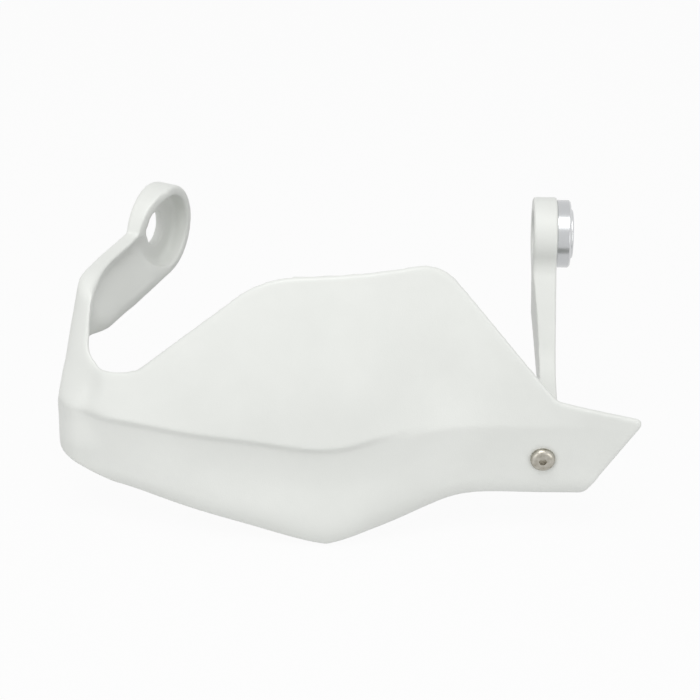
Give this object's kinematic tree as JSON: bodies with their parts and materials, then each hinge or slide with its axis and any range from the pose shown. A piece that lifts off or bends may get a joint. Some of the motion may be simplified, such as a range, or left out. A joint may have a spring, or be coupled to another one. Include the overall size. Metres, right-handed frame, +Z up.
{
  "type": "motorcycle hand guard",
  "caption": "Hand guard for one end of a motorcycle handlebar: a moulded wind shield with an arm to the bar end, held at its inner end by a bent stay, screw, clip nut and turned collar.",
  "frame": {"origin": "on the axis of the eye at the end of the shield's arm, at the middle of the web that its bore goes through", "axes": "+X across the machine from the bar end to its middle, along the collar's bore; +Y back to the rider; +Z up"},
  "size_m": [0.3294, 0.1733, 0.1572],
  "materials": {
    "moulded_plastic": "satin off-white moulded plastic with a fine grain",
    "plated_steel": "dark plated steel",
    "spring_steel": "dark oiled spring steel",
    "turned_aluminium": "satin turned aluminium"
  },
  "bodies": {
    "root": {"shield": "moulded_plastic", "stay": "moulded_plastic", "screw": "plated_steel", "spring_clip": "spring_steel", "square_nut": "plated_steel", "flanged_collar": "turned_aluminium", "spacer_ring": "turned_aluminium"}
  },
  "joints": []
}
